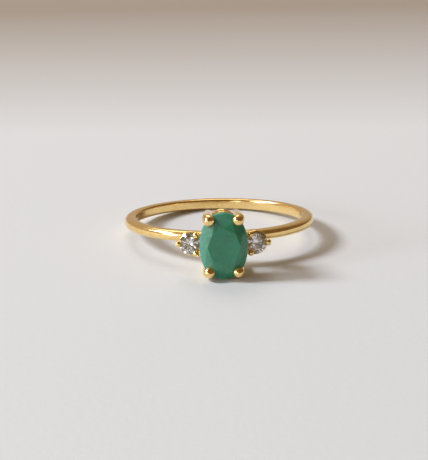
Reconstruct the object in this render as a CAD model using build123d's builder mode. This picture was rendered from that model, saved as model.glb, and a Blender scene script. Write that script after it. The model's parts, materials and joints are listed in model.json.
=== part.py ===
"""A finger ring: a faceted oval stone between two small round ones, on a thin plain shank.

The ring lies as it rests on a table, on the underside of its head and the back of its shank, with
the table top at Z = 0 and the stones facing -Y. Its own directions are those of ring_plane: the
finger goes through it along local Z, and the head stands towards local -Y. Sizes are millimetres.
"""

import os
from math import asin, atan2, cos, degrees, hypot, radians, sin, sqrt

from build123d import *

# Shank: a closed hoop of half-round wire, flat against the finger and domed outside.
finger_diameter = 18.2  # ring size 8
shank_thickness = 1.25
shank_width = 1.15  # along the finger
shank_dome = 0.35  # share of the thickness that is the domed outside
shank_edge = 0.08  # rounding of the two edges that touch the finger

# Centre stone: a calibrated 7 x 5 oval in a brilliant cut.
stone_length = 7.0  # along the finger
stone_width = 5.0
stone_girdle = 0.24
stone_crown = 0.85
stone_pavilion = 2.1
stone_table = 0.6  # width of the table as a share of the stone's
girdle_height = 4.15  # middle of the girdle above the outside of the shank

# Side stones: round brilliants in heads that stand square on the shank.
side_diameter = 2.25
side_girdle = 0.08
side_crown = 0.34
side_pavilion = 0.95
side_table = 0.56
side_drop = 0.85  # middle of the girdle below the centre stone's, measured from the finger
side_gap = 0.32  # least gap between the edge of a side stone and the centre head's upper rail

# Centre head: an upper and a lower oval rail of round wire, held in notches of four claws.
gallery_wire = 0.65
gallery_side_inset = 0.75  # rail's centre line inside the girdle, across the finger
gallery_end_inset = 0.35  # the same along the finger
gallery_depth = 1.2  # below the middle of the girdle
base_wire = 0.7
base_side_inset = 0.75
base_end_inset = 0.72
base_sink = 0.12  # how far the shank is let into the lower rail
claw_radius = 0.58
claw_angle = 52.0  # place of a claw round the oval, in degrees from the stone's width
claw_outset = 0.14  # shaft's centre line outside the girdle
claw_inset = 0.28  # tip's centre line inside the girdle
claw_rise = 0.95  # tip above the middle of the girdle
claw_bend = 0.9
claw_foot_outset = 0.45  # foot's centre line outside the lower rail's
claw_foot_drop = 0.3  # foot below the lower rail's centre line

# Side heads: an upper and a lower round rail, held in notches of three claws.
seat_wire = 0.4
seat_inset = 0.08  # rail's centre line inside the claws'
seat_depth = 0.3  # below the middle of the side girdle
foot_wire = 0.4
foot_inset = 0.22
foot_height = 1.3  # above the outside of the shank
side_claw_radius = 0.28
side_claw_angle = 54.0  # each inner claw from the line towards the centre stone
side_claw_outset = 0.1
side_claw_inset = 0.0
side_claw_rise = 0.48
side_claw_bend = 0.4
side_foot_margin = 0.04  # between an inner claw and the flank of the shank
side_foot_sink = 0.5  # how far the claws are drawn into the shank before it trims them
side_foot_gap = 0.05  # least gap between an inner claw and the centre head's lower rail

tip_rounding = 0.85  # as a share of the claw's radius
foot_rounding = 0.3

facet_folds = 8  # mains round each stone
keel_radius = 0.22  # where the lower halves end, as a share of the stone's radius

# Places that follow from the sizes, in the ring's own directions.
inner_radius = finger_diameter / 2
outer_radius = inner_radius + shank_thickness
flank_radius = outer_radius - shank_dome
girdle_radius = outer_radius + girdle_height
side_girdle_radius = girdle_radius - side_drop
side_radius = side_diameter / 2
gallery_half_width = stone_width / 2 - gallery_side_inset
gallery_half_length = stone_length / 2 - gallery_end_inset
base_half_width = stone_width / 2 - base_side_inset
base_half_length = stone_length / 2 - base_end_inset
base_depth = girdle_radius - base_wire / 2 + base_sink - sqrt(outer_radius**2 - base_half_width**2)

# The claws of a side head stand on a circle that narrows from the girdle to the shank.
side_foot_depth = side_girdle_radius - outer_radius + side_foot_sink
side_foot_reach = shank_width / 2 - side_foot_margin - side_claw_radius
side_foot_circle = side_foot_reach / sin(radians(side_claw_angle))
side_knee_circle = side_radius + side_claw_outset


def side_claw_circle(depth):
    """Radius of the circle of side claws at a depth below the middle of the girdle."""
    return side_knee_circle + (side_foot_circle - side_knee_circle) * depth / side_foot_depth


def angle_beside(distance, radius, inset):
    """Angle of a head whose inner side, set in from its axis, is at a distance from the middle."""
    return degrees(atan2(inset, radius) + asin(distance / hypot(radius, inset)))


# A side head stands as near to the centre head as its girdle and its inner claws can.
base_top = outer_radius + base_wire / 2
side_foot_inset = side_claw_circle(side_girdle_radius - base_top) * cos(radians(side_claw_angle))
side_angle = max(
    angle_beside(gallery_half_width + gallery_wire / 2 + side_gap, side_girdle_radius, side_radius),
    angle_beside(
        base_half_width + base_wire / 2 + side_claw_radius + side_foot_gap, base_top, side_foot_inset
    ),
)


def oval_point(half_width, half_length, outset, height):
    """A point beside an oval at the claws' angle, in a seat's local directions."""
    angle = radians(claw_angle)
    normal = Vector(cos(angle) / half_width, sin(angle) / half_length).normalized()
    return Vector(half_width * cos(angle), half_length * sin(angle), height) + normal * outset


def round_point(radius, angle, height):
    """A point of a circle at an angle in degrees, in a seat's local directions."""
    return Vector(radius * cos(radians(angle)), radius * sin(radians(angle)), height)


claw_foot = oval_point(base_half_width, base_half_length, claw_foot_outset, -base_depth - claw_foot_drop)
claw_knee = oval_point(stone_width / 2, stone_length / 2, claw_outset, 0)
claw_tip = oval_point(stone_width / 2, stone_length / 2, -claw_inset, claw_rise)


def claw_side(start, end, rounding):
    """Height and reach of the outermost line of a claw, where the rounding of its start ends."""
    lean = atan2(end.Y - start.Y, end.Z - start.Z)
    height = start.Z + rounding * cos(lean) - claw_radius * sin(lean)
    return height, start.Y + rounding * sin(lean) + claw_radius * cos(lean)


def resting_tilt(height, reach):
    """Tilt at which a point of the head and the back edge of the shank touch a table together."""
    return degrees(atan2(reach - shank_width / 2, girdle_radius + height + flank_radius))


# The part of the head that reaches lowest is what the ring rests on.
tilt = max(
    resting_tilt(*claw_side(claw_foot, claw_knee, foot_rounding * claw_radius)),
    resting_tilt(*claw_side(claw_knee, claw_tip, 0)),
    resting_tilt(0, stone_length / 2),
    resting_tilt(-gallery_depth, gallery_half_length + gallery_wire / 2),
    resting_tilt(-base_depth, base_half_length + base_wire / 2),
)
lift = flank_radius * sin(radians(tilt)) + shank_width / 2 * cos(radians(tilt))
front = (girdle_radius + claw_rise) * cos(radians(tilt)) + claw_tip.Y * sin(radians(tilt))
finger_y = (front - outer_radius * cos(radians(tilt))) / 2
ring_plane = Plane(
    origin=(0, finger_y, lift), x_dir=(1, 0, 0), z_dir=(0, sin(radians(tilt)), cos(radians(tilt)))
)


def head_seat(angle, radius):
    """The plane of a girdle: local Z points out of the ring, local Y runs along the finger."""
    out = radians(angle)
    seat = Plane(
        origin=(radius * sin(out), -radius * cos(out), 0),
        x_dir=(cos(out), sin(out), 0),
        z_dir=(sin(out), -cos(out), 0),
    )
    return Plane(ring_plane.location * seat.location)


def make_shank():
    """The hoop: a half-round section turned round the finger's axis."""
    half = shank_width / 2
    across_finger = Plane(ring_plane.origin, x_dir=ring_plane.x_dir, z_dir=-ring_plane.y_dir)
    lower, upper = (flank_radius, -half), (flank_radius, half)
    with BuildPart() as shank:
        with BuildSketch(across_finger) as section:
            with BuildLine():
                Polyline(lower, (inner_radius, -half), (inner_radius, half), upper)
                ThreePointArc(upper, (outer_radius, 0), lower)
            make_face()
            fillet(section.vertices().group_by(Axis.X)[0], shank_edge)
        revolve(axis=Axis(ring_plane.origin, ring_plane.z_dir))
    return shank.part


def facet_plane(seat, corners):
    """The plane through three corners of a facet, facing out of the stone."""
    first, second, third = (seat.from_local_coords(corner) for corner in corners)
    normal = (second - first).cross(third - first)
    if normal.dot(first - seat.origin) < 0:
        normal = -normal
    return Plane(origin=first, z_dir=normal)


def crown_facets(top, crown, table):
    """Corners of the crown's facets on a gem of radius 1: mains, stars and upper halves."""
    step = 360 / facet_folds
    narrowing = cos(radians(step / 2))
    reach = (1 + table * narrowing) / 2
    star_height = top + crown * (1 - reach * narrowing) / (1 - table)
    for main in [fold * step for fold in range(facet_folds)]:
        low = round_point(1, main, top)
        high = round_point(table, main, top + crown)
        between = round_point(1, main + step / 2, top)
        star = round_point(reach, main + step / 2, star_height)
        yield low, high, round_point(1 / narrowing, main + step / 2, top)
        yield high, round_point(table, main + step, top + crown), star
        yield low, between, star
        yield between, round_point(1, main + step, top), star


def pavilion_facets(bottom, pavilion):
    """Corners of the pavilion's facets on a gem of radius 1: mains and lower halves."""
    step = 360 / facet_folds
    narrowing = cos(radians(step / 2))
    keel_height = -bottom - pavilion * (1 - keel_radius * narrowing)
    for main in [fold * step for fold in range(facet_folds)]:
        low = round_point(1, main, -bottom)
        between = round_point(1, main + step / 2, -bottom)
        keel = round_point(keel_radius, main + step / 2, keel_height)
        culet = round_point(0, 0, -bottom - pavilion)
        yield low, culet, round_point(1 / narrowing, main + step / 2, -bottom)
        yield low, between, keel
        yield between, round_point(1, main + step, -bottom), keel


def cut_stone(seat, width, length, girdle, crown, pavilion, table):
    """A brilliant: an oval blank with one plane cut for each facet."""
    half = girdle / 2
    with BuildPart() as stone:
        with BuildSketch(seat.offset(-half - pavilion)):
            Ellipse(width / 2, length / 2)
        extrude(amount=pavilion + girdle + crown)
        for corners in [*crown_facets(half, crown, table), *pavilion_facets(half, pavilion)]:
            outline = [Vector(point.X * width / 2, point.Y * length / 2, point.Z) for point in corners]
            split(bisect_by=facet_plane(seat, outline), keep=Keep.BOTTOM)
    return stone.part


def wire_rail(seat, depth, half_width, half_length, wire, cut_by=()):
    """A closed rail of round wire, cut away where it sits on its neighbours."""
    start = seat.from_local_coords(Vector(half_width, 0, -depth))
    section = Plane(start, x_dir=seat.x_dir, z_dir=seat.y_dir)
    with BuildPart() as rail:
        with BuildLine(seat.offset(-depth)):
            EllipticalCenterArc((0, 0), half_width, half_length, start_angle=0, arc_size=180)
            EllipticalCenterArc((0, 0), half_width, half_length, start_angle=180, arc_size=180)
        with BuildSketch(section):
            Circle(wire / 2)
        sweep()
        for piece in cut_by:
            add(piece, mode=Mode.SUBTRACT)
    return rail.part


def make_claw(points, radius, bend, cut_by):
    """A round claw from its foot over the knee to its tip, notched for the pieces it holds.

    The seam of its skin runs along the outside of the bend, clear of the notches.
    """
    with BuildPart() as claw:
        with BuildLine() as centre_line:
            FilletPolyline(*points, radius=bend)
        foot, tip = centre_line.line @ 0, centre_line.line @ 1
        outward = points[1] - (foot + tip) / 2
        with BuildSketch(Plane(origin=foot, x_dir=outward, z_dir=centre_line.line % 0)):
            Circle(radius)
        sweep()
        ends = claw.faces().filter_by(GeomType.PLANE)
        fillet(ends.sort_by_distance(tip)[0].edges(), tip_rounding * radius)
        fillet(ends.sort_by_distance(foot)[0].edges(), foot_rounding * radius)
        for piece in cut_by:
            add(piece, mode=Mode.SUBTRACT)
    return claw.part


def centre_head(shank):
    """The centre stone's head: two rails, four claws and the stone they hold."""
    seat = head_seat(0, girdle_radius)
    stone = cut_stone(
        seat, stone_width, stone_length, stone_girdle, stone_crown, stone_pavilion, stone_table
    )
    gallery = wire_rail(
        seat, gallery_depth, gallery_half_width, gallery_half_length, gallery_wire, [stone]
    )
    base = wire_rail(seat, base_depth, base_half_width, base_half_length, base_wire, [shank])
    head = {"centre_stone": stone, "gallery_rail": gallery, "base_rail": base}
    for row, along in (("upper", 1), ("lower", -1)):
        for side, across in (("left", -1), ("right", 1)):
            points = [
                seat.from_local_coords(Vector(across * point.X, along * point.Y, point.Z))
                for point in (claw_foot, claw_knee, claw_tip)
            ]
            claw = make_claw(points, claw_radius, claw_bend, [stone, gallery, base, shank])
            head[f"{row}_{side}_claw"] = claw
    return head


def side_head(side, across, shank):
    """A side stone's head: two round rails, three claws that reach the shank, and the stone."""
    seat = head_seat(across * side_angle, side_girdle_radius)
    stone = cut_stone(
        seat, side_diameter, side_diameter, side_girdle, side_crown, side_pavilion, side_table
    )
    ring_depth = side_girdle_radius - outer_radius - foot_height
    seat_circle = side_claw_circle(seat_depth) - seat_inset
    ring_circle = side_claw_circle(ring_depth) - foot_inset
    seat_ring = wire_rail(seat, seat_depth, seat_circle, seat_circle, seat_wire, [stone])
    foot_ring = wire_rail(seat, ring_depth, ring_circle, ring_circle, foot_wire)
    head = {f"{side}_stone": stone, f"{side}_seat_ring": seat_ring, f"{side}_foot_ring": foot_ring}
    outward = 0 if across > 0 else 180
    inward = outward + 180
    places = {
        "outer": outward,
        "upper": inward - across * side_claw_angle,
        "lower": inward + across * side_claw_angle,
    }
    for place, angle in places.items():
        points = [
            seat.from_local_coords(round_point(side_foot_circle, angle, -side_foot_depth)),
            seat.from_local_coords(round_point(side_knee_circle, angle, 0)),
            seat.from_local_coords(round_point(side_radius - side_claw_inset, angle, side_claw_rise)),
        ]
        claw = make_claw(
            points, side_claw_radius, side_claw_bend, [stone, seat_ring, foot_ring, shank]
        )
        head[f"{side}_{place}_claw"] = claw
    return head


shank = make_shank()
pieces = {
    "shank": shank,
    **centre_head(shank),
    **side_head("left", -1, shank),
    **side_head("right", 1, shank),
}
os.makedirs("parts", exist_ok=True)
for name, piece in pieces.items():
    piece.label = name
    export_step(piece, f"parts/{name}.step")
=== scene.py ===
"""Looks of a gold finger ring with a cloudy green oval stone between two clear round ones.

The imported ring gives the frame: its finger hole says where the hoop's centre is and which way the
finger goes. Every shape is drawn in millimetres in the ring's own directions (z along the finger,
the stones towards -y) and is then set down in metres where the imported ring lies.
"""

import json
import logging
import math
from dataclasses import dataclass, field
from enum import Enum
from typing import Iterable, Iterator, Sequence

import bmesh
import bpy
from mathutils import Matrix, Vector, noise


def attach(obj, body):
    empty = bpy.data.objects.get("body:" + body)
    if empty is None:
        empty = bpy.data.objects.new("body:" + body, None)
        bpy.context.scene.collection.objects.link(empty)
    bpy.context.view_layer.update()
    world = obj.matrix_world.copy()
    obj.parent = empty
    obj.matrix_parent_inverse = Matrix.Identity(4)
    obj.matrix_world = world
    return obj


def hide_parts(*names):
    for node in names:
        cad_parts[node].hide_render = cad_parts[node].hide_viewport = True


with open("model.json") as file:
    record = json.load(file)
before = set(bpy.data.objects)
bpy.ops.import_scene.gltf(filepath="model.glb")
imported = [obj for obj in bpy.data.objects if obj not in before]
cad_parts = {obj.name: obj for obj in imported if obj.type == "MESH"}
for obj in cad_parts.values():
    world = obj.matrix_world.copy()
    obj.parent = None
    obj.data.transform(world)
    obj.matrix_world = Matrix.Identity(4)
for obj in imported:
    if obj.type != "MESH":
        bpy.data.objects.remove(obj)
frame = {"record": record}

log = logging.getLogger("ring")

MM = 0.001
SEAT_ROOM = 1.004  # a seat's size against its stone's


# ---------------- shared helpers


class Side(Enum):
    """The two sides of the ring as its stones face the viewer."""

    LEFT = -1
    RIGHT = 1

    @property
    def word(self) -> str:
        """The side as a word for names."""
        return self.name.lower()


class Slot(Enum):
    """The record's material slots."""

    GOLD = "gold"
    EMERALD = "emerald"
    BRILLIANT = "clear_brilliant"


@dataclass(frozen=True)
class RingFrame:
    """The ring's own directions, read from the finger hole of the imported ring."""

    origin: Vector
    finger: Vector

    @classmethod
    def from_record(cls, record: dict) -> "RingFrame":
        """Reads the finger hole's centre and axis.

        Args:
            record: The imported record.

        Returns:
            The ring's frame, in metres.
        """
        hole = next(mount for mount in record["mounts"] if mount["name"] == "finger_hole")
        return cls(Vector(hole["pos_m"]), Vector(hole["axis"]).normalized())

    @property
    def matrix(self) -> Matrix:
        """Turns the ring's own millimetres into metres in the row frame."""
        x_axis = Vector((1, 0, 0))
        y_axis = self.finger.cross(x_axis)
        turn = Matrix((x_axis, y_axis, self.finger)).transposed().to_4x4()
        return Matrix.Translation(self.origin) @ turn @ Matrix.Scale(MM, 4)

    def seat(self, angle: float, radius: float) -> Matrix:
        """The place of a stone's girdle: local z points out of the ring, local y along the finger.

        Args:
            angle: Degrees round the finger from the centre of the head.
            radius: Millimetres from the finger's axis.

        Returns:
            The matrix from local millimetres to metres in the row frame.
        """
        turned = math.radians(angle)
        outward = Vector((math.sin(turned), -math.cos(turned), 0))
        across = Vector((math.cos(turned), math.sin(turned), 0))
        local = Matrix((across, outward.cross(across), outward)).transposed().to_4x4()
        return self.matrix @ Matrix.Translation(outward * radius) @ local


def new_object(name: str, mesh: bpy.types.Mesh) -> bpy.types.Object:
    """Links a mesh to the scene as an object of the same name."""
    piece = bpy.data.objects.new(name, mesh)
    bpy.context.scene.collection.objects.link(piece)
    return piece


def mesh_from(name: str, build: bmesh.types.BMesh) -> bpy.types.Mesh:
    """Turns a bmesh into a mesh with its faces pointing outwards.

    Args:
        name: Name of the new mesh.
        build: The finished bmesh, which is freed.

    Returns:
        The mesh.
    """
    bmesh.ops.recalc_face_normals(build, faces=build.faces)
    mesh = bpy.data.meshes.new(name)
    build.to_mesh(mesh)
    build.free()
    return mesh


def dress(
    piece: bpy.types.Object, stands_for: str, material: bpy.types.Material
) -> None:
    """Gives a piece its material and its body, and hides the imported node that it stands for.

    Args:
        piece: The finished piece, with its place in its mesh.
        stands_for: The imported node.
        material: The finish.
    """
    piece.data.materials.clear()
    piece.data.materials.append(material)
    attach(piece, "root")
    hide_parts(stands_for)
    log.info("%s: %d faces", piece.name, len(piece.data.polygons))


def settle(mesh: bpy.types.Mesh, place: Matrix, smooth: bool) -> None:
    """Moves a mesh into the row frame and sets how its faces are shaded.

    Args:
        mesh: The mesh, in local millimetres.
        place: The matrix from local millimetres to metres in the row frame.
        smooth: Whether its faces are shaded as one curved surface.
    """
    mesh.transform(place)
    if smooth:
        mesh.shade_smooth()
    else:
        mesh.shade_flat()
    mesh.update()


# ---------------- finishes


class NodeWork:
    """A node tree with short calls to fill it."""

    def __init__(self, tree: bpy.types.NodeTree) -> None:
        """Takes over a tree.

        Args:
            tree: The tree to fill.
        """
        self.tree = tree

    def add(self, kind: str, **facts: object) -> bpy.types.Node:
        """Adds a node and sets its properties."""
        node = self.tree.nodes.new(kind)
        for name, value in facts.items():
            setattr(node, name, value)
        return node

    def feed(
        self, value: float | Sequence[float] | bpy.types.NodeSocket, socket: bpy.types.NodeSocket
    ) -> None:
        """Gives a socket a value or a link."""
        if isinstance(value, bpy.types.NodeSocket):
            self.tree.links.new(value, socket)
        else:
            socket.default_value = value

    def mix(
        self,
        factor: bpy.types.NodeSocket,
        first: Sequence[float] | bpy.types.NodeSocket,
        second: Sequence[float] | bpy.types.NodeSocket,
    ) -> bpy.types.NodeSocket:
        """Mixes two colours, each given as numbers or as a socket."""
        mixer = self.add("ShaderNodeMix", data_type="RGBA")
        self.feed(factor, mixer.inputs["Factor"])
        sockets = [socket for socket in mixer.inputs if socket.type == "RGBA"]
        for colour, socket in zip((first, second), sockets):
            self.feed(colour if isinstance(colour, bpy.types.NodeSocket) else (*colour, 1), socket)
        return next(socket for socket in mixer.outputs if socket.type == "RGBA")


class NodeSheet(NodeWork):
    """A material and its node tree."""

    def __init__(self, name: str) -> None:
        """Starts an empty material.

        Args:
            name: Name of the material.
        """
        self.material = bpy.data.materials.new(name)
        self.material.use_nodes = True
        super().__init__(self.material.node_tree)
        self.tree.nodes.clear()
        output = self.add("ShaderNodeOutputMaterial")
        self.shader = self.add("ShaderNodeBsdfPrincipled")
        self.feed(self.shader.outputs["BSDF"], output.inputs["Surface"])
        self.place = self.add("ShaderNodeTexCoord").outputs["Object"]

    def scaled(self, scale: Sequence[float]) -> bpy.types.NodeSocket:
        """Object coordinates with each direction scaled, for stretched patterns."""
        mapping = self.add("ShaderNodeMapping")
        mapping.inputs["Scale"].default_value = scale
        self.feed(self.place, mapping.inputs["Vector"])
        return mapping.outputs["Vector"]

    def noise(
        self, per_mm: float, detail: float = 3.0, stretch: Sequence[float] = (1, 1, 1)
    ) -> bpy.types.NodeSocket:
        """A noise pattern.

        Args:
            per_mm: Features to the millimetre.
            detail: Octaves of finer noise.
            stretch: How much finer the pattern is along x, y and z.

        Returns:
            The pattern's value.
        """
        texture = self.add("ShaderNodeTexNoise")
        texture.inputs["Scale"].default_value = per_mm / MM
        texture.inputs["Detail"].default_value = detail
        self.feed(self.scaled(stretch), texture.inputs["Vector"])
        return texture.outputs["Fac"]

    def far_from(self, centre: Sequence[float], reach: Sequence[float]) -> bpy.types.NodeSocket:
        """Distance from a point, as a share of a reach along x, y and z.

        Args:
            centre: The point, in millimetres.
            reach: The distances that count as 1, in millimetres. 0 leaves a direction out.

        Returns:
            The distance.
        """
        mapping = self.add("ShaderNodeMapping")
        mapping.inputs["Scale"].default_value = [0 if not size else 1 / (size * MM) for size in reach]
        mapping.inputs["Location"].default_value = [
            0 if not size else -spot / size for spot, size in zip(centre, reach)
        ]
        self.feed(self.place, mapping.inputs["Vector"])
        length = self.add("ShaderNodeVectorMath", operation="LENGTH")
        self.feed(mapping.outputs["Vector"], length.inputs[0])
        return length.outputs["Value"]

    def times(self, first: bpy.types.NodeSocket, second: bpy.types.NodeSocket) -> bpy.types.NodeSocket:
        """The product of two patterns."""
        product = self.add("ShaderNodeMath", operation="MULTIPLY")
        self.feed(first, product.inputs[0])
        self.feed(second, product.inputs[1])
        return product.outputs["Value"]

    def between(
        self,
        value: bpy.types.NodeSocket,
        low: float,
        high: float,
        start: float = 0.0,
        end: float = 1.0,
    ) -> bpy.types.NodeSocket:
        """Maps a range of a pattern onto another.

        Args:
            value: The pattern.
            low: What the pattern's start becomes.
            high: What the pattern's end becomes.
            start: Lower end of the pattern's range.
            end: Upper end of the pattern's range.

        Returns:
            The mapped pattern.
        """
        ranged = self.add("ShaderNodeMapRange")
        ends = {"From Min": start, "From Max": end, "To Min": low, "To Max": high}
        for name, number in ends.items():
            ranged.inputs[name].default_value = number
        self.feed(value, ranged.inputs["Value"])
        return ranged.outputs["Result"]

    def bump(self, height: bpy.types.NodeSocket, depth: float) -> None:
        """Adds relief to the shader.

        Args:
            height: The pattern that gives the relief.
            depth: Height of the relief in millimetres.
        """
        normal = self.shader.inputs["Normal"]
        bump = self.add("ShaderNodeBump")
        bump.inputs["Distance"].default_value = depth * MM
        bump.inputs["Strength"].default_value = 1.0
        self.feed(height, bump.inputs["Height"])
        if normal.is_linked:
            self.feed(normal.links[0].from_socket, bump.inputs["Normal"])
        self.feed(bump.outputs["Normal"], normal)


@dataclass(frozen=True)
class GoldFinish:
    """Polished yellow gold with the fine wear of a worn ring."""

    name: str = "polished_gold"
    colour: tuple[float, float, float] = (1.0, 0.735, 0.32)
    worn_colour: tuple[float, float, float] = (0.93, 0.64, 0.25)
    polish: float = 0.12
    worn: float = 0.22
    wear_per_mm: float = 1.1
    haze_per_mm: float = 3.0
    scratches_per_mm: float = 14.0
    scratch_stretch: tuple[float, float, float] = (1, 1, 0.25)
    scratch_depth: float = 0.0012
    dents_per_mm: float = 1.6
    dent_depth: float = 0.006

    def material(self) -> bpy.types.Material:
        """Builds the material."""
        sheet = NodeSheet(self.name)
        sheet.shader.inputs["Metallic"].default_value = 1.0
        wear = sheet.noise(self.wear_per_mm, detail=4)
        colour = sheet.mix(sheet.between(wear, 0, 1, 0.4, 0.7), self.colour, self.worn_colour)
        sheet.feed(colour, sheet.shader.inputs["Base Color"])
        haze = sheet.noise(self.haze_per_mm, detail=5)
        roughness = sheet.between(haze, self.polish, self.worn, 0.35, 0.7)
        sheet.feed(roughness, sheet.shader.inputs["Roughness"])
        scratches = sheet.noise(self.scratches_per_mm, detail=4, stretch=self.scratch_stretch)
        sheet.bump(scratches, self.scratch_depth)
        sheet.bump(sheet.noise(self.dents_per_mm, detail=1), self.dent_depth)
        return sheet.material


@dataclass(frozen=True)
class EmeraldFinish:
    """A cloudy green stone with veins, paler along its left side and its upper end: that paleness is a
    painted sheen of the light, and the deepest green right of its middle is painted shade.
    """

    name: str = "cloudy_emerald"
    deep: tuple[float, float, float] = (0.031, 0.245, 0.122)
    body: tuple[float, float, float] = (0.051, 0.310, 0.178)
    veil_and_sheen: tuple[float, float, float] = (0.100, 0.225, 0.200)
    # painted light: the stone stays deepest green round a shaded point right of its middle, and the
    # pale veil grows away from that point as a painted sheen on its left side and its upper end
    shade_centre: tuple[float, float, float] = (0.9, 0, 3.0)
    sheen_reach: tuple[float, float, float] = (3.2, 0, 4.2)
    least_veil_in_shade: float = 0.16
    refraction: float = 1.58
    glow: float = 0.8
    glow_depth: float = 0.9
    glow_colour: tuple[float, float, float] = (0.8, 1.6, 1.3)
    clouds_per_mm: float = 0.45
    veins_per_mm: float = 0.9
    vein_stretch: tuple[float, float, float] = (0.55, 0.55, 3.2)
    polish: float = 0.22
    haze: float = 0.10
    haze_per_mm: float = 2.2
    waves_per_mm: float = 3.0
    wave_depth: float = 0.004

    def material(self) -> bpy.types.Material:
        """Builds the material."""
        sheet = NodeSheet(self.name)
        shader = sheet.shader
        shader.inputs["IOR"].default_value = self.refraction
        shader.inputs["Subsurface Weight"].default_value = self.glow
        shader.inputs["Subsurface Radius"].default_value = self.glow_colour
        shader.inputs["Subsurface Scale"].default_value = self.glow_depth * MM
        clouds = sheet.between(sheet.noise(self.clouds_per_mm, detail=5), 0, 1, 0.35, 0.68)
        ground = sheet.mix(clouds, self.deep, self.body)
        # painted sheen: the veil's share grows with distance from the painted shade right of the
        # middle, so the left side and the upper end look lit; the veins themselves are the stone's own
        from_shade = sheet.far_from(self.shade_centre, self.sheen_reach)
        veins = sheet.noise(self.veins_per_mm, detail=3, stretch=self.vein_stretch)
        veins_and_sheen = sheet.times(
            sheet.between(veins, 0.35, 1, 0.38, 0.64),
            sheet.between(from_shade, self.least_veil_in_shade, 1, 0.66, 1.02),
        )
        sheet.feed(sheet.mix(veins_and_sheen, ground, self.veil_and_sheen), shader.inputs["Base Color"])
        haze = sheet.noise(self.haze_per_mm, detail=4)
        rough = sheet.between(haze, self.polish, self.polish + self.haze, 0.4, 0.7)
        sheet.feed(rough, shader.inputs["Roughness"])
        sheet.bump(sheet.noise(self.waves_per_mm, detail=3), self.wave_depth)
        return sheet.material


@dataclass(frozen=True)
class BrilliantFinish:
    """A clear polished stone of high refraction."""

    name: str = "clear_stone"
    tint: tuple[float, float, float] = (1.0, 1.0, 1.0)
    refraction: float = 2.2
    haze: float = 0.02
    haze_per_mm: float = 4.0

    def material(self) -> bpy.types.Material:
        """Builds the material."""
        sheet = NodeSheet(self.name)
        shader = sheet.shader
        shader.inputs["Base Color"].default_value = (*self.tint, 1)
        shader.inputs["Transmission Weight"].default_value = 1.0
        shader.inputs["IOR"].default_value = self.refraction
        haze = sheet.noise(self.haze_per_mm, detail=3)
        rough = sheet.between(haze, 0.0, self.haze, 0.4, 0.75)
        sheet.feed(rough, shader.inputs["Roughness"])
        return sheet.material


@dataclass(frozen=True)
class TableFinish:
    """The matt surface that the ring lies on, pale near the ring and darker and browner farther back.
    """

    name: str = "pale_table"
    near: tuple[float, float, float] = (0.690, 0.720, 0.765)
    far: tuple[float, float, float] = (0.34, 0.29, 0.25)
    fade_from: float = 45.0
    fade_to: float = 115.0
    roughness: float = 0.75
    grain_per_mm: float = 1.2
    grain_depth: float = 0.02

    def material(self) -> bpy.types.Material:
        """Builds the material."""
        sheet = NodeSheet(self.name)
        split = sheet.add("ShaderNodeSeparateXYZ")
        sheet.feed(sheet.place, split.inputs["Vector"])
        along = sheet.between(split.outputs["Y"], 0, 1, self.fade_from * MM, self.fade_to * MM)
        sheet.feed(sheet.mix(along, self.near, self.far), sheet.shader.inputs["Base Color"])
        sheet.shader.inputs["Roughness"].default_value = self.roughness
        sheet.bump(sheet.noise(self.grain_per_mm, detail=4), self.grain_depth)
        return sheet.material


# ---------------- geometry nodes


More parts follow.
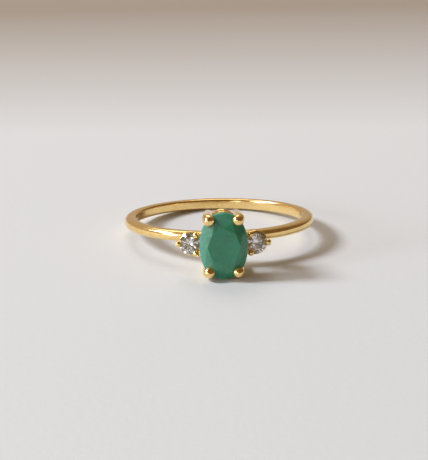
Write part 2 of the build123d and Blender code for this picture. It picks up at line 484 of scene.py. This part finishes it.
class ShapeTree(NodeWork):
    """A geometry node tree that makes a swept shape."""

    def __init__(self, name: str, sizes: Iterable[str]) -> None:
        """Starts a tree that takes a material and some named sizes.

        Args:
            name: Name of the tree.
            sizes: Names of its number inputs.
        """
        super().__init__(bpy.data.node_groups.new(name, "GeometryNodeTree"))
        face = self.tree.interface
        face.new_socket("Geometry", in_out="INPUT", socket_type="NodeSocketGeometry")
        for size in sizes:
            face.new_socket(size, in_out="INPUT", socket_type="NodeSocketFloat")
        face.new_socket("Finish", in_out="INPUT", socket_type="NodeSocketMaterial")
        face.new_socket("Geometry", in_out="OUTPUT", socket_type="NodeSocketGeometry")
        self.sizes = self.add("NodeGroupInput").outputs
        self.result = self.add("NodeGroupOutput").inputs["Geometry"]

    def math(self, operation: str, *values: float | bpy.types.NodeSocket) -> bpy.types.NodeSocket:
        """A number worked out from others."""
        node = self.add("ShaderNodeMath", operation=operation)
        for value, socket in zip(values, node.inputs):
            self.feed(value, socket)
        return node.outputs["Value"]

    def vector(self, *values: float | bpy.types.NodeSocket) -> bpy.types.NodeSocket:
        """A vector from three numbers."""
        node = self.add("ShaderNodeCombineXYZ")
        for value, socket in zip(values, node.inputs):
            self.feed(value, socket)
        return node.outputs["Vector"]

    def circle(self, points: int) -> bpy.types.NodeSocket:
        """A circle of radius 1 in the XY plane."""
        node = self.add("GeometryNodeCurvePrimitiveCircle", mode="RADIUS")
        node.inputs["Resolution"].default_value = points
        node.inputs["Radius"].default_value = 1.0
        return node.outputs["Curve"]

    def moved(
        self, shape: bpy.types.NodeSocket, position: bpy.types.NodeSocket
    ) -> bpy.types.NodeSocket:
        """The shape with each point put at a position."""
        node = self.add("GeometryNodeSetPosition")
        self.feed(shape, node.inputs["Geometry"])
        self.feed(position, node.inputs["Position"])
        return node.outputs["Geometry"]

    def position(self) -> Sequence[bpy.types.NodeSocket]:
        """The x, y and z of each point."""
        split = self.add("ShaderNodeSeparateXYZ")
        self.feed(self.add("GeometryNodeInputPosition").outputs["Position"], split.inputs["Vector"])
        return split.outputs

    def close(self, path: bpy.types.NodeSocket, section: bpy.types.NodeSocket) -> None:
        """Sweeps the section along the path and ends the tree."""
        sweep = self.add("GeometryNodeCurveToMesh")
        self.feed(path, sweep.inputs["Curve"])
        self.feed(section, sweep.inputs["Profile Curve"])
        whole = self.add("GeometryNodeRealizeInstances")
        self.feed(sweep.outputs["Mesh"], whole.inputs["Geometry"])
        finish = self.add("GeometryNodeSetMaterial")
        self.feed(whole.outputs["Geometry"], finish.inputs["Geometry"])
        self.feed(self.sizes["Finish"], finish.inputs["Material"])
        self.feed(finish.outputs["Geometry"], self.result)

    def bake(self, name: str, material: bpy.types.Material, **sizes: float) -> bpy.types.Mesh:
        """Runs the tree and returns its result as a plain mesh.

        Args:
            name: Name of the new mesh.
            material: The finish that the tree sets.
            sizes: Values of the number inputs, with underscores for spaces.

        Returns:
            The mesh, in millimetres.
        """
        host = new_object(f"{name}_host", bpy.data.meshes.new(f"{name}_host"))
        modifier = host.modifiers.new("shape", "NODES")
        modifier.node_group = self.tree
        values = {key.replace("_", " "): value for key, value in sizes.items()} | {"Finish": material}
        for item in self.tree.interface.items_tree:
            if item.in_out == "INPUT" and item.name in values:
                modifier[item.identifier] = values[item.name]
        bpy.context.view_layer.update()
        shaped = host.evaluated_get(bpy.context.evaluated_depsgraph_get())
        mesh = bpy.data.meshes.new_from_object(shaped)
        mesh.name = name
        host.modifiers.clear()
        bpy.data.objects.remove(host)
        return mesh


INNER_POWER = 0.33  # of a superellipse: almost square towards the finger
OUTER_POWER = 0.80  # nearly round outside
DRIFTS_PER_RADIUS = 1.7
HOOP_POINTS = 360
HOOP_SECTION_POINTS = 72
RAIL_POINTS = 144
WIRE_POINTS = 28


def hoop_tree() -> ShapeTree:
    """The hoop: a half-round section, flat to the finger, swept round the finger's axis.

    Returns:
        A tree with inputs Radius, Inner, Outer, Half Width and Unevenness.
    """
    tree = ShapeTree("hoop", ("Radius", "Inner", "Outer", "Half Width", "Unevenness"))
    x, y, _ = tree.position()
    outside = tree.math("GREATER_THAN", x, 0.0)
    power = tree.math("ADD", INNER_POWER, tree.math("MULTIPLY", outside, OUTER_POWER - INNER_POWER))
    step = tree.math("SUBTRACT", tree.sizes["Outer"], tree.sizes["Inner"])
    reach = tree.math("ADD", tree.sizes["Inner"], tree.math("MULTIPLY", outside, step))

    def bulged(along: bpy.types.NodeSocket, size: bpy.types.NodeSocket) -> bpy.types.NodeSocket:
        """A coordinate of the unit circle, moved onto the section."""
        shaped = tree.math("POWER", tree.math("ABSOLUTE", along), power)
        return tree.math("MULTIPLY", tree.math("MULTIPLY", tree.math("SIGN", along), shaped), size)

    outline = tree.vector(bulged(x, reach), bulged(y, tree.sizes["Half Width"]), 0.0)
    section = tree.moved(tree.circle(HOOP_SECTION_POINTS), outline)
    path_x, path_y, _ = tree.position()
    wobble = tree.add("ShaderNodeTexNoise")
    wobble.inputs["Scale"].default_value = DRIFTS_PER_RADIUS
    wobble.inputs["Detail"].default_value = 1.0
    off_centre = tree.math("SUBTRACT", wobble.outputs["Fac"], 0.5)
    drift = tree.math("MULTIPLY", off_centre, tree.sizes["Unevenness"])
    radius = tree.math("ADD", tree.sizes["Radius"], drift)
    place = tree.vector(
        tree.math("MULTIPLY", path_x, radius), tree.math("MULTIPLY", path_y, radius), 0.0
    )
    tree.close(tree.moved(tree.circle(HOOP_POINTS), place), section)
    return tree


def rail_tree() -> ShapeTree:
    """A closed oval rail of round wire.

    Returns:
        A tree with inputs Half Width, Half Length and Wire Radius.
    """
    tree = ShapeTree("rail", ("Half Width", "Half Length", "Wire Radius"))

    def stretched(points: int, width: str, length: str) -> bpy.types.NodeSocket:
        """A circle with its x and y multiplied by named sizes."""
        x, y, _ = tree.position()
        wide = tree.math("MULTIPLY", x, tree.sizes[width])
        long = tree.math("MULTIPLY", y, tree.sizes[length])
        return tree.moved(tree.circle(points), tree.vector(wide, long, 0.0))

    tree.close(
        stretched(RAIL_POINTS, "Half Width", "Half Length"),
        stretched(WIRE_POINTS, "Wire Radius", "Wire Radius"),
    )
    return tree


# ---------------- stones


@dataclass(frozen=True)
class StoneCut:
    """A brilliant cut on an oval outline, in millimetres. The girdle's middle is at z = 0."""

    half_width: float
    half_length: float
    girdle: float
    crown: float
    pavilion: float
    table_width: float
    table_length: float
    folds: int = 8
    keel: float = 0.22
    edge: float = 0.012
    fullness: float = 2.0
    rim_points: int = 128
    facet_angle: float = 2.5
    edge_steps: int = 3

    def rim(self, angle: float, height: float, spread: float = 1.0) -> Vector:
        """A point of the girdle's outline at an angle in degrees, or of a smaller one like it."""
        turned = math.radians(angle)
        x, y = (math.copysign(abs(part) ** (2 / self.fullness), part) * spread
                for part in (math.cos(turned), math.sin(turned)))
        return Vector((self.half_width * x, self.half_length * y, height))

    def beside(self, angle: float, height: float) -> Vector:
        """A point next to the outline's, on its tangent."""
        return self.rim(angle, height) + self.rim(angle + 1, height) - self.rim(angle - 1, height)

    def corner(self, angle: float) -> Vector:
        """A corner of the table."""
        turned = math.radians(angle)
        return Vector((self.table_width * math.cos(turned), self.table_length * math.sin(turned),
                       self.girdle / 2 + self.crown))

    def crown_facets(self) -> Iterator[tuple[Vector, Vector, Vector]]:
        """Three points of each crown facet: mains, stars and upper halves."""
        step = 360 / self.folds
        top = self.girdle / 2
        mains = [(self.rim(k * step, top), self.corner(k * step), self.beside(k * step, top))
                 for k in range(self.folds)]
        for k in range(self.folds):
            here, following = mains[k], mains[(k + 1) % self.folds]
            middle = (self.rim((k + 0.5) * step, top) + (here[1] + following[1]) / 2) / 2
            height = min(height_on(plane, middle) for plane in (here, following))
            star = Vector((middle.x, middle.y, height))
            between = self.rim((k + 0.5) * step, top)
            yield here
            yield here[1], following[1], star
            yield here[0], between, star
            yield between, following[0], star

    def pavilion_facets(self) -> Iterator[tuple[Vector, Vector, Vector]]:
        """Three points of each pavilion facet: mains and lower halves."""
        step = 360 / self.folds
        bottom = -self.girdle / 2
        narrowing = math.cos(math.radians(step / 2))
        culet = Vector((0, 0, bottom - self.pavilion))
        for k in range(self.folds):
            low, between = self.rim(k * step, bottom), self.rim((k + 0.5) * step, bottom)
            depth = self.pavilion * (1 - self.keel * narrowing)
            keel = self.rim((k + 0.5) * step, bottom - depth, self.keel)
            yield low, culet, self.beside(k * step, bottom)
            yield low, between, keel
            yield between, self.rim((k + 1) * step, bottom), keel

    def mesh(self, name: str) -> bpy.types.Mesh:
        """Cuts the stone from an oval blank, one plane to a facet.

        Args:
            name: Name of the mesh.

        Returns:
            The stone, in local millimetres.
        """
        blank = bmesh.new()
        top, bottom = self.girdle / 2 + self.crown, -self.girdle / 2 - self.pavilion
        count = self.rim_points
        rings = [
            [blank.verts.new(self.rim(360 * k / count, z)) for k in range(count)] for z in (bottom, top)
        ]
        blank.faces.new(rings[1])
        blank.faces.new(rings[0][::-1])
        for k in range(count):
            m = (k + 1) % count
            blank.faces.new((rings[0][k], rings[0][m], rings[1][m], rings[1][k]))
        for a, b, c in (*self.crown_facets(), *self.pavilion_facets()):
            normal = (b - a).cross(c - a).normalized()
            if normal.dot(a) < 0:
                normal.negate()
            everything = [*blank.verts, *blank.edges, *blank.faces]
            cut = bmesh.ops.bisect_plane(
                blank, geom=everything, dist=1e-6, plane_co=a, plane_no=normal, clear_outer=True)
            rim = [part for part in cut["geom_cut"] if isinstance(part, bmesh.types.BMEdge)]
            bmesh.ops.holes_fill(blank, edges=rim)
        bmesh.ops.remove_doubles(blank, verts=blank.verts, dist=1e-3)
        bmesh.ops.dissolve_degenerate(blank, edges=blank.edges, dist=1e-3)
        sharp = [
            edge for edge in blank.edges
            if edge.is_manifold and edge.calc_face_angle() > math.radians(self.facet_angle)
            and edge.calc_length() > 4 * self.edge
        ]
        bmesh.ops.bevel(
            blank, geom=sharp, offset=self.edge, segments=self.edge_steps, profile=0.5,
            affect="EDGES", clamp_overlap=True)
        return mesh_from(name, blank)


def height_on(plane: tuple[Vector, Vector, Vector], point: Vector) -> float:
    """Height of a plane through three points, above a point's x and y."""
    a, b, c = plane
    normal = (b - a).cross(c - a)
    return a.z - (normal.x * (point.x - a.x) + normal.y * (point.y - a.y)) / normal.z


# ---------------- claws


@dataclass(frozen=True)
class ClawShape:
    """A round claw with a beaded tip, in a seat's local millimetres."""

    foot: Vector
    knee: Vector
    tip: Vector
    radius: float
    bend: float
    bead: float
    seed: float
    sides: int = 40
    foot_rounding: float = 0.3
    bead_height: float = 0.9
    swell_length: float = 1.6
    bead_bluntness: float = 0.85
    dents_per_mm: float = 1.3
    dent_share: float = 0.03
    step_share: float = 0.25
    least_steps: int = 6
    arc_steps: int = 10
    foot_steps: int = 6
    bead_steps: int = 14

    def centre_line(self) -> list[Vector]:
        """Points along the claw, closely spaced, with the bend at the knee as an arc."""
        down, up = (self.foot - self.knee).normalized(), (self.tip - self.knee).normalized()
        half_turn = (math.pi - down.angle(up)) / 2
        back = self.bend * math.tan(half_turn)
        start, end = self.knee + down * back, self.knee + up * back
        middle = self.knee + (down + up).normalized() * (self.bend / math.cos(half_turn))
        first, last = (start - middle).normalized(), (end - middle).normalized()
        shares = (k / self.arc_steps for k in range(self.arc_steps + 1))
        arc = [middle + first.slerp(last, share) * self.bend for share in shares]
        return [self.foot, *arc, self.tip]

    def profile(self, length: float) -> list[tuple[float, float]]:
        """Distance along the claw and radius there, from foot to tip.

        Args:
            length: Length of the claw's centre line.

        Returns:
            The stations of the profile, the first and the last of no radius.
        """
        foot_round = self.foot_rounding * self.radius
        points = [(0.0, 0.0)]
        for k in range(self.foot_steps + 1):
            turned = math.radians(90 * k / self.foot_steps)
            radius = self.radius - foot_round * (1 - math.sin(turned))
            points.append((foot_round * (1 - math.cos(turned)), radius))
        bead_height = self.bead_height * self.bead
        neck = length - bead_height
        steps = max(self.least_steps, int((neck - foot_round) / (self.step_share * self.radius)))
        for k in range(1, steps + 1):
            along = foot_round + (neck - foot_round) * k / steps
            swell = max(0.0, 1 - (neck - along) / (self.swell_length * self.bead))
            eased = swell * swell * (3 - 2 * swell)
            points.append((along, self.radius + (self.bead - self.radius) * eased))
        for k in range(1, self.bead_steps):
            turned = math.radians(90 * k / self.bead_steps)
            radius = self.bead * math.cos(turned) ** self.bead_bluntness
            points.append((neck + bead_height * math.sin(turned), radius))
        points.append((length, 0.0))
        return points

    def mesh(self, name: str) -> bpy.types.Mesh:
        """Builds the claw.

        Args:
            name: Name of the mesh.

        Returns:
            The claw as one closed skin, in local millimetres.
        """
        line = self.centre_line()
        lengths = [0.0]
        for before, after in zip(line, line[1:]):
            lengths.append(lengths[-1] + (after - before).length)
        skin = bmesh.new()
        rings: list[list[bmesh.types.BMVert]] = []
        across = Vector((1, 0, 0))
        for along, radius in self.profile(lengths[-1]):
            spot, direction = walk(line, lengths, along)
            across = (across - direction * across.dot(direction)).normalized()
            beside = direction.cross(across)
            if radius < 1e-6:
                rings.append([skin.verts.new(spot)])
                continue
            ring = []
            for k in range(self.sides):
                turned = 2 * math.pi * k / self.sides
                out = across * math.cos(turned) + beside * math.sin(turned)
                sample = (spot + out * radius) * self.dents_per_mm + Vector((self.seed, 0, 0))
                dented = radius * (1 + self.dent_share * noise.noise(sample))
                ring.append(skin.verts.new(spot + out * dented))
            rings.append(ring)
        for lower, upper in zip(rings, rings[1:]):
            join_rings(skin, lower, upper)
        return mesh_from(name, skin)


def walk(line: Sequence[Vector], lengths: Sequence[float], along: float) -> tuple[Vector, Vector]:
    """The point at a distance along a line, and the line's direction there.

    Args:
        line: Corners of the line.
        lengths: Distance of each corner from the start.
        along: The distance asked for.

    Returns:
        The point and the unit direction.
    """
    index = max(k for k in range(len(line) - 1) if lengths[k] <= along + 1e-9)
    share = (along - lengths[index]) / (lengths[index + 1] - lengths[index])
    return line[index].lerp(line[index + 1], share), (line[index + 1] - line[index]).normalized()


def join_rings(
    skin: bmesh.types.BMesh, lower: list[bmesh.types.BMVert], upper: list[bmesh.types.BMVert]
) -> None:
    """Faces between two rings of vertices, either of which may be a single point."""
    count = max(len(lower), len(upper))
    for k in range(count):
        m = (k + 1) % count
        if len(lower) == 1:
            skin.faces.new((lower[0], upper[m], upper[k]))
        elif len(upper) == 1:
            skin.faces.new((lower[k], lower[m], upper[0]))
        else:
            skin.faces.new((lower[k], lower[m], upper[m], upper[k]))


def notched(mesh: bpy.types.Mesh, stone: bpy.types.Mesh) -> bpy.types.Mesh:
    """A claw or rail with the seat of its stone cut out, both in the same local millimetres.

    Args:
        mesh: The claw or rail.
        stone: The stone that it holds.

    Returns:
        The notched mesh.
    """
    blank, cutter = new_object("seat_blank", mesh), new_object("seat_cutter", stone.copy())
    cutter.data.transform(Matrix.Scale(SEAT_ROOM, 4))
    cut = blank.modifiers.new("seat", "BOOLEAN")
    cut.operation, cut.solver, cut.object = "DIFFERENCE", "EXACT", cutter
    bpy.context.view_layer.update()
    shaped = blank.evaluated_get(bpy.context.evaluated_depsgraph_get())
    result = bpy.data.meshes.new_from_object(shaped)
    result.name = mesh.name
    blank.modifiers.clear()
    bpy.data.objects.remove(blank)
    bpy.data.objects.remove(cutter)
    return result


def soften(mesh: bpy.types.Mesh, limit: float = 40.0) -> None:
    """Keeps edges sharper than a limit in degrees sharp, so that notches read as cut."""
    mesh.set_sharp_from_angle(angle=math.radians(limit))


# ---------------- sub-assemblies


@dataclass
class Finishes:
    """The finishes that the ring's pieces share."""

    gold: bpy.types.Material = field(default_factory=lambda: GoldFinish().material())
    emerald: bpy.types.Material = field(default_factory=lambda: EmeraldFinish().material())
    brilliant: bpy.types.Material = field(default_factory=lambda: BrilliantFinish().material())


def fit_claw(
    shape: ClawShape, node: str, stone: bpy.types.Mesh, seat: Matrix, finishes: Finishes
) -> None:
    """Makes a claw, notches it for its stone and dresses it.

    Args:
        shape: The claw's sizes.
        node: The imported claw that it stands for.
        stone: The stone that it holds, in the seat's local millimetres.
        seat: The seat of the stone.
        finishes: The shared finishes.
    """
    name = f"{node}_wire"
    mesh = notched(shape.mesh(name), stone)
    settle(mesh, seat, smooth=True)
    soften(mesh)
    dress(new_object(name, mesh), node, finishes.gold)


@dataclass
class Hoop:
    """The shank: a hoop of half-round wire."""

    inner_radius: float = 9.1
    thickness: float = 1.25
    width: float = 1.15
    widest: float = 0.62  # from the inside to the widest line of the wire
    unevenness: float = 0.03

    @property
    def outer_radius(self) -> float:
        """Outside of the hoop."""
        return self.inner_radius + self.thickness

    def build(self, ring: RingFrame, finishes: Finishes) -> None:
        """Makes and dresses the hoop.

        Args:
            ring: Where the ring lies.
            finishes: The shared finishes.
        """
        mesh = hoop_tree().bake(
            "hoop", finishes.gold, Radius=self.inner_radius + self.widest, Inner=self.widest,
            Outer=self.thickness - self.widest, Half_Width=self.width / 2, Unevenness=self.unevenness)
        tidy_closed(mesh)
        settle(mesh, ring.matrix, smooth=True)
        dress(new_object("hoop", mesh), "shank", finishes.gold)


def tidy_closed(mesh: bpy.types.Mesh) -> None:
    """Merges doubled points of a swept mesh and turns its faces outwards."""
    work = bmesh.new()
    work.from_mesh(mesh)
    bmesh.ops.remove_doubles(work, verts=work.verts, dist=1e-4)
    bmesh.ops.recalc_face_normals(work, faces=work.faces)
    work.to_mesh(mesh)
    work.free()


@dataclass
class Rail:
    """A closed rail of round wire."""

    name: str
    half_width: float
    half_length: float
    wire: float
    depth: float

    def build(
        self, tree: ShapeTree, seat: Matrix, finishes: Finishes, stone: bpy.types.Mesh | None = None
    ) -> None:
        """Makes and dresses the rail.

        Args:
            tree: The rail's shape.
            seat: The seat that the rail lies below.
            finishes: The shared finishes.
            stone: The stone that sits in the rail, in the seat's local millimetres.
        """
        name = f"{self.name}_wire"
        mesh = tree.bake(
            name, finishes.gold, Half_Width=self.half_width, Half_Length=self.half_length,
            Wire_Radius=self.wire / 2)
        tidy_closed(mesh)
        mesh.transform(Matrix.Translation((0, 0, -self.depth)))
        if stone:
            mesh = notched(mesh, stone)
        settle(mesh, seat, smooth=True)
        soften(mesh)
        dress(new_object(name, mesh), self.name, finishes.gold)


@dataclass
class CentreHead:
    """The centre stone with its four claws and two rails."""

    girdle_radius: float = 14.5
    stone: StoneCut = field(default_factory=lambda: StoneCut(
        half_width=2.5, half_length=3.5, girdle=0.24, crown=0.85, pavilion=2.1,
        table_width=1.72, table_length=1.95, edge=0.09, fullness=2.2))
    claw_radius: float = 0.55
    claw_bead: float = 0.60
    claw_angle: float = 52.0
    claw_outset: float = 0.14
    claw_inset: float = 0.28
    claw_rise: float = 0.95
    claw_bend: float = 0.9
    foot_outset: float = 0.45
    foot_drop: float = 0.3
    gallery_half_width: float = 1.75
    gallery_half_length: float = 3.15
    gallery_wire: float = 0.65
    gallery_depth: float = 1.2
    base_half_width: float = 1.75
    base_half_length: float = 2.78
    base_wire: float = 0.7
    base_sink: float = 0.12

    def beside(self, half_width: float, half_length: float, outset: float, height: float) -> Vector:
        """A point beside an oval at the claws' angle.

        Args:
            half_width: Half the oval's width.
            half_length: Half the oval's length.
            outset: Distance outwards from the oval.
            height: Height above the girdle.

        Returns:
            The point, in the seat's local millimetres.
        """
        turned = math.radians(self.claw_angle)
        normal = Vector((math.cos(turned) / half_width, math.sin(turned) / half_length, 0)).normalized()
        spot = Vector((half_width * math.cos(turned), half_length * math.sin(turned), height))
        return spot + normal * outset

    def build(self, ring: RingFrame, hoop: Hoop, finishes: Finishes, rails: ShapeTree) -> None:
        """Makes and dresses the stone, the claws and the rails.

        Args:
            ring: Where the ring lies.
            hoop: The hoop that the head stands on.
            finishes: The shared finishes.
            rails: The rail's shape.
        """
        seat = ring.seat(0, self.girdle_radius)
        stone = self.stone.mesh("green_oval")
        hoop_top = math.sqrt(hoop.outer_radius**2 - self.base_half_width**2)
        base_depth = self.girdle_radius - self.base_wire / 2 + self.base_sink - hoop_top
        base = self.base_half_width, self.base_half_length
        girdle = self.stone.half_width, self.stone.half_length
        foot = self.beside(*base, self.foot_outset, -base_depth - self.foot_drop)
        knee = self.beside(*girdle, self.claw_outset, 0)
        tip = self.beside(*girdle, -self.claw_inset, self.claw_rise)
        for row, along in (("upper", 1), ("lower", -1)):
            for side in Side:
                flip = Vector((side.value, along, 1))
                claw = ClawShape(
                    *(point * flip for point in (foot, knee, tip)), radius=self.claw_radius,
                    bend=self.claw_bend, bead=self.claw_bead, seed=5.0 * along + 2.0 * side.value)
                fit_claw(claw, f"{row}_{side.word}_claw", stone, seat, finishes)
        settle(stone, seat, smooth=False)
        dress(new_object("green_oval", stone), "centre_stone", finishes.emerald)
        Rail("gallery_rail", self.gallery_half_width, self.gallery_half_length, self.gallery_wire,
             self.gallery_depth).build(rails, seat, finishes)
        Rail("base_rail", self.base_half_width, self.base_half_length, self.base_wire,
             base_depth).build(rails, seat, finishes)


@dataclass
class SideHead:
    """A side stone with its three claws and two rails."""

    side: Side
    girdle_radius: float = 13.65
    angle: float = 14.782
    stone: StoneCut = field(default_factory=lambda: StoneCut(
        half_width=1.125, half_length=1.125, girdle=0.08, crown=0.34, pavilion=0.95,
        table_width=0.63, table_length=0.63, edge=0.005))
    claw_radius: float = 0.27
    claw_bead: float = 0.34
    claw_angle: float = 54.0
    claw_outset: float = 0.1
    claw_rise: float = 0.48
    claw_bend: float = 0.4
    foot_margin: float = 0.04
    foot_sink: float = 0.3  # how deep a claw goes into the hoop
    taper_sink: float = 0.5  # how deep the line is drawn that the rails' circles follow
    seat_wire: float = 0.4
    seat_inset: float = 0.08
    seat_depth: float = 0.3
    foot_wire: float = 0.4
    foot_inset: float = 0.22
    foot_height: float = 1.3

    def build(self, ring: RingFrame, hoop: Hoop, finishes: Finishes, rails: ShapeTree) -> None:
        """Makes and dresses the stone, the claws and the rails.

        Args:
            ring: Where the ring lies.
            hoop: The hoop that the head stands on.
            finishes: The shared finishes.
            rails: The rail's shape.
        """
        word = self.side.word
        seat = ring.seat(self.side.value * self.angle, self.girdle_radius)
        stone = self.stone.mesh(f"{word}_round_stone")
        rise = self.girdle_radius - hoop.outer_radius
        reach = hoop.width / 2 - self.foot_margin - self.claw_radius
        foot_circle = reach / math.sin(math.radians(self.claw_angle))
        knee_circle = self.stone.half_width + self.claw_outset
        outward = 0 if self.side is Side.RIGHT else 180
        places = {
            "outer": outward,
            "upper": outward + 180 - self.side.value * self.claw_angle,
            "lower": outward + 180 + self.side.value * self.claw_angle,
        }
        foot_depth = Vector((0, 0, -rise - self.foot_sink))
        tip_height = Vector((0, 0, self.claw_rise))
        for place, angle in places.items():
            turned = math.radians(angle)
            out = Vector((math.cos(turned), math.sin(turned), 0))
            claw = ClawShape(
                foot=out * foot_circle + foot_depth, knee=out * knee_circle,
                tip=out * self.stone.half_width + tip_height, radius=self.claw_radius,
                bend=self.claw_bend, bead=self.claw_bead, seed=0.1 * angle, sides=28)
            fit_claw(claw, f"{word}_{place}_claw", stone, seat, finishes)
        taper = (knee_circle - foot_circle) / (rise + self.taper_sink)
        for name, wire, depth, inset, seated in (
            ("seat_ring", self.seat_wire, self.seat_depth, self.seat_inset, stone),
            ("foot_ring", self.foot_wire, rise - self.foot_height, self.foot_inset, None),
        ):
            circle = knee_circle - taper * depth - inset
            Rail(f"{word}_{name}", circle, circle, wire, depth).build(rails, seat, finishes, seated)
        settle(stone, seat, smooth=False)
        piece = new_object(f"{word}_round_stone", stone)
        dress(piece, f"{word}_stone", finishes.brilliant)


# ---------------- studio


class LampKind(Enum):
    """A square soft lamp near the ring, or a window far away."""

    SOFT = "AREA"
    WINDOW = "SUN"


@dataclass(frozen=True)
class Lamp:
    """A lamp that faces the ring."""

    name: str
    kind: LampKind
    place: tuple[float, float, float]
    extent: float
    power: float
    colour: tuple[float, float, float]

    def hang(self) -> None:
        """Makes the lamp.

        The extent is a soft lamp's side in millimetres, or a window's width in degrees. The power
        is in watts, or for a window in watts to the square metre.
        """
        lamp = bpy.data.lights.new(self.name, self.kind.value)
        lamp.energy, lamp.color = self.power, self.colour
        if self.kind is LampKind.WINDOW:
            lamp.angle = math.radians(self.extent)
        else:
            lamp.shape, lamp.size = "SQUARE", self.extent * MM
        holder = bpy.data.objects.new(self.name, lamp)
        spot = Vector(self.place) * MM
        turn = spot.to_track_quat("Z", "Y").to_matrix().to_4x4()
        holder.matrix_world = Matrix.Translation(spot) @ turn
        bpy.context.scene.collection.objects.link(holder)


@dataclass
class Studio:
    """The table, the soft lights, the room and the camera."""

    lamps: tuple[Lamp, ...] = (
        Lamp("window", LampKind.WINDOW, (-300, 20, 226), 16.0, 3.0, (0.92, 0.96, 1.0)),
        Lamp("side_window", LampKind.SOFT, (-270, -140, 70), 80, 0.34, (0.95, 0.98, 1.0)),
        Lamp("card", LampKind.SOFT, (-140, -264, 45), 60, 0.06, (0.95, 0.98, 1.0)),
        Lamp("overhead", LampKind.SOFT, (-40, 260, 300), 200, 0.32, (1.0, 0.90, 0.78)),
    )
    distance: float = 250.0
    elevation: float = 10.91
    turn: float = 1.74
    roll: float = 0.82
    focal: float = 178.35
    shift: tuple[float, float] = (-0.011, -0.0231)
    near_clip: float = 10.0
    table_half: float = 1500.0
    bright_side: tuple[float, float, float] = (-0.60, 0.75, 0.28)
    bright_spread: tuple[float, float] = (-0.10, 0.80)
    dim: tuple[float, float, float] = (0.165, 0.100, 0.048)
    bright: tuple[float, float, float] = (0.46, 0.37, 0.28)

    def build(self, ring: RingFrame) -> None:
        """Sets up everything round the ring.

        Args:
            ring: Where the ring lies.
        """
        self.table()
        self.camera(ring)
        for lamp in self.lamps:
            lamp.hang()
        self.surround()

    def table(self) -> None:
        """A pale matt table top."""
        top = bmesh.new()
        bmesh.ops.create_grid(top, x_segments=8, y_segments=8, size=self.table_half * MM)
        mesh = bpy.data.meshes.new("table_top")
        top.to_mesh(mesh)
        top.free()
        mesh.materials.append(TableFinish().material())
        new_object("table_top", mesh)

    def camera(self, ring: RingFrame) -> None:
        """A long lens, a little above the plane of the ring.

        Args:
            ring: Where the ring lies.
        """
        up_angle, turned, roll = (math.radians(a) for a in (self.elevation, self.turn, self.roll))
        spin = Matrix.Rotation(-turned, 3, "Z")
        back = spin @ Vector((0, -math.cos(up_angle), math.sin(up_angle)))
        right = spin @ Vector((1, 0, 0))
        over = back.cross(right)
        tilted_right = right * math.cos(roll) - over * math.sin(roll)
        tilted_up = right * math.sin(roll) + over * math.cos(roll)
        local = Matrix((tilted_right, tilted_up, back)).transposed().to_4x4()
        lens = bpy.data.cameras.new("lens")
        lens.lens = self.focal
        lens.shift_x, lens.shift_y = self.shift
        lens.clip_start = self.near_clip * MM
        camera = bpy.data.objects.new("camera", lens)
        place = ring.matrix @ Matrix.Translation(back * self.distance) @ local
        spot, turn, _ = place.decompose()
        camera.matrix_world = Matrix.Translation(spot) @ turn.to_matrix().to_4x4()
        bpy.context.scene.collection.objects.link(camera)
        bpy.context.scene.camera = camera

    def surround(self) -> None:
        """A room that is light behind the ring and to its left, and dim and warm elsewhere."""
        world = bpy.data.worlds.new("room")
        world.use_nodes = True
        work = NodeWork(world.node_tree)
        towards = work.add("ShaderNodeVectorMath", operation="DOT_PRODUCT")
        towards.inputs[1].default_value = self.bright_side
        work.feed(work.add("ShaderNodeTexCoord").outputs["Generated"], towards.inputs[0])
        ramp = work.add("ShaderNodeMapRange", interpolation_type="SMOOTHSTEP")
        for name, value in zip(("From Min", "From Max"), self.bright_spread):
            ramp.inputs[name].default_value = value
        work.feed(towards.outputs["Value"], ramp.inputs["Value"])
        colour = work.mix(ramp.outputs["Result"], self.dim, self.bright)
        work.feed(colour, world.node_tree.nodes["Background"].inputs["Color"])
        bpy.context.scene.world = world
        bpy.context.scene.view_settings.view_transform = "Standard"


def main() -> None:
    """Builds the ring, sub-assembly by sub-assembly, and the studio round it."""
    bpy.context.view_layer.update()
    ring = RingFrame.from_record(frame["record"])
    Studio().build(ring)
    finishes = Finishes()
    hoop = Hoop()
    rails = rail_tree()
    hoop.build(ring, finishes)
    CentreHead().build(ring, hoop, finishes, rails)
    for side in Side:
        SideHead(side).build(ring, hoop, finishes, rails)


if __name__ == "__main__":
    logging.basicConfig(level=logging.INFO, format="%(name)s: %(message)s")
    main()
